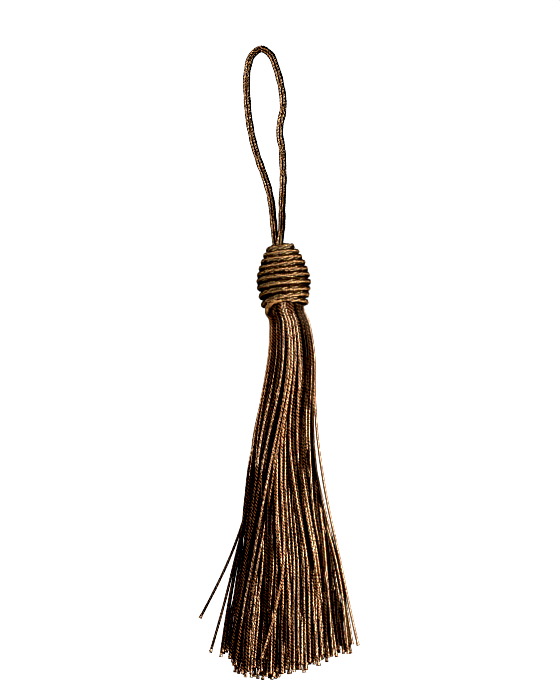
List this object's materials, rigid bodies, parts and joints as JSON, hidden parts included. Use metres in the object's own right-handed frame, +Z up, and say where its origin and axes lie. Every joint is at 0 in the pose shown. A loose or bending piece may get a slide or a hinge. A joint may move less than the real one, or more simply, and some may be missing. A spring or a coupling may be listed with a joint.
{
  "type": "silk tassel",
  "caption": "Small silk tassel lying flat: a beehive head wound with twisted cord, a hanging loop of the same cord and a skirt of loose twisted threads.",
  "frame": {"origin": "centre of the underside of the box around the head and the skirt, on the surface that the tassel lies on", "axes": "+Y along the tassel from the threads' tips towards the hanging loop, +Z up from the surface, +X to the right as seen from above"},
  "size_m": [0.034, 0.1346, 0.0111],
  "materials": {
    "head_silk": "glossy gold-brown twisted silk cord, wound turn by turn",
    "loop_silk": "glossy brown twisted silk cord",
    "skirt_silk": "lustrous dark brown twisted silk threads with copper glints"
  },
  "bodies": {
    "root": {"head_winding": "head_silk", "loop_cord": "loop_silk", "skirt": "skirt_silk"}
  },
  "joints": []
}
